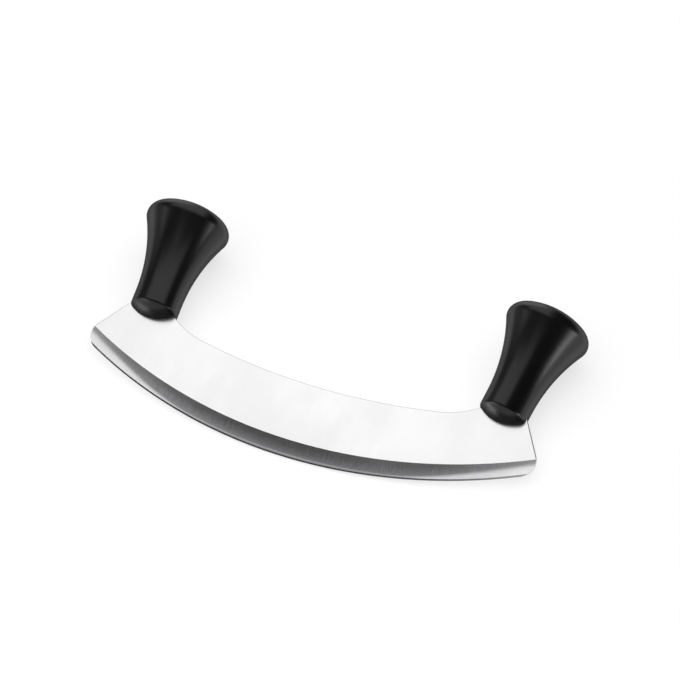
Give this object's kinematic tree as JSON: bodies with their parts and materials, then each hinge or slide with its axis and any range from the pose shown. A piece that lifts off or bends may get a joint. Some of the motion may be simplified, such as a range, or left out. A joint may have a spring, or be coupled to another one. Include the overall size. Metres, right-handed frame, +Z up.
{
  "type": "mezzaluna",
  "caption": "Mezzaluna: a curved steel rocking blade with a ground edge and a black moulded knob handle at each end, lying flat as it is put down.",
  "frame": {"origin": "middle of the surface that the knife lies on, under the centre of its bounding box", "axes": "+X along the blade towards the right handle, +Y from the cutting edge towards the handles, +Z up off the surface"},
  "size_m": [0.221, 0.1033, 0.04],
  "materials": {
    "blade_steel": "satin stainless steel, hollow ground along the edge",
    "grip_plastic": "black moulded plastic, softly glossy",
    "core_plastic": "dark moulded plastic"
  },
  "bodies": {
    "root": {"blade": "blade_steel", "left_core": "core_plastic", "right_core": "core_plastic", "left_grip": "grip_plastic", "right_grip": "grip_plastic"}
  },
  "joints": []
}
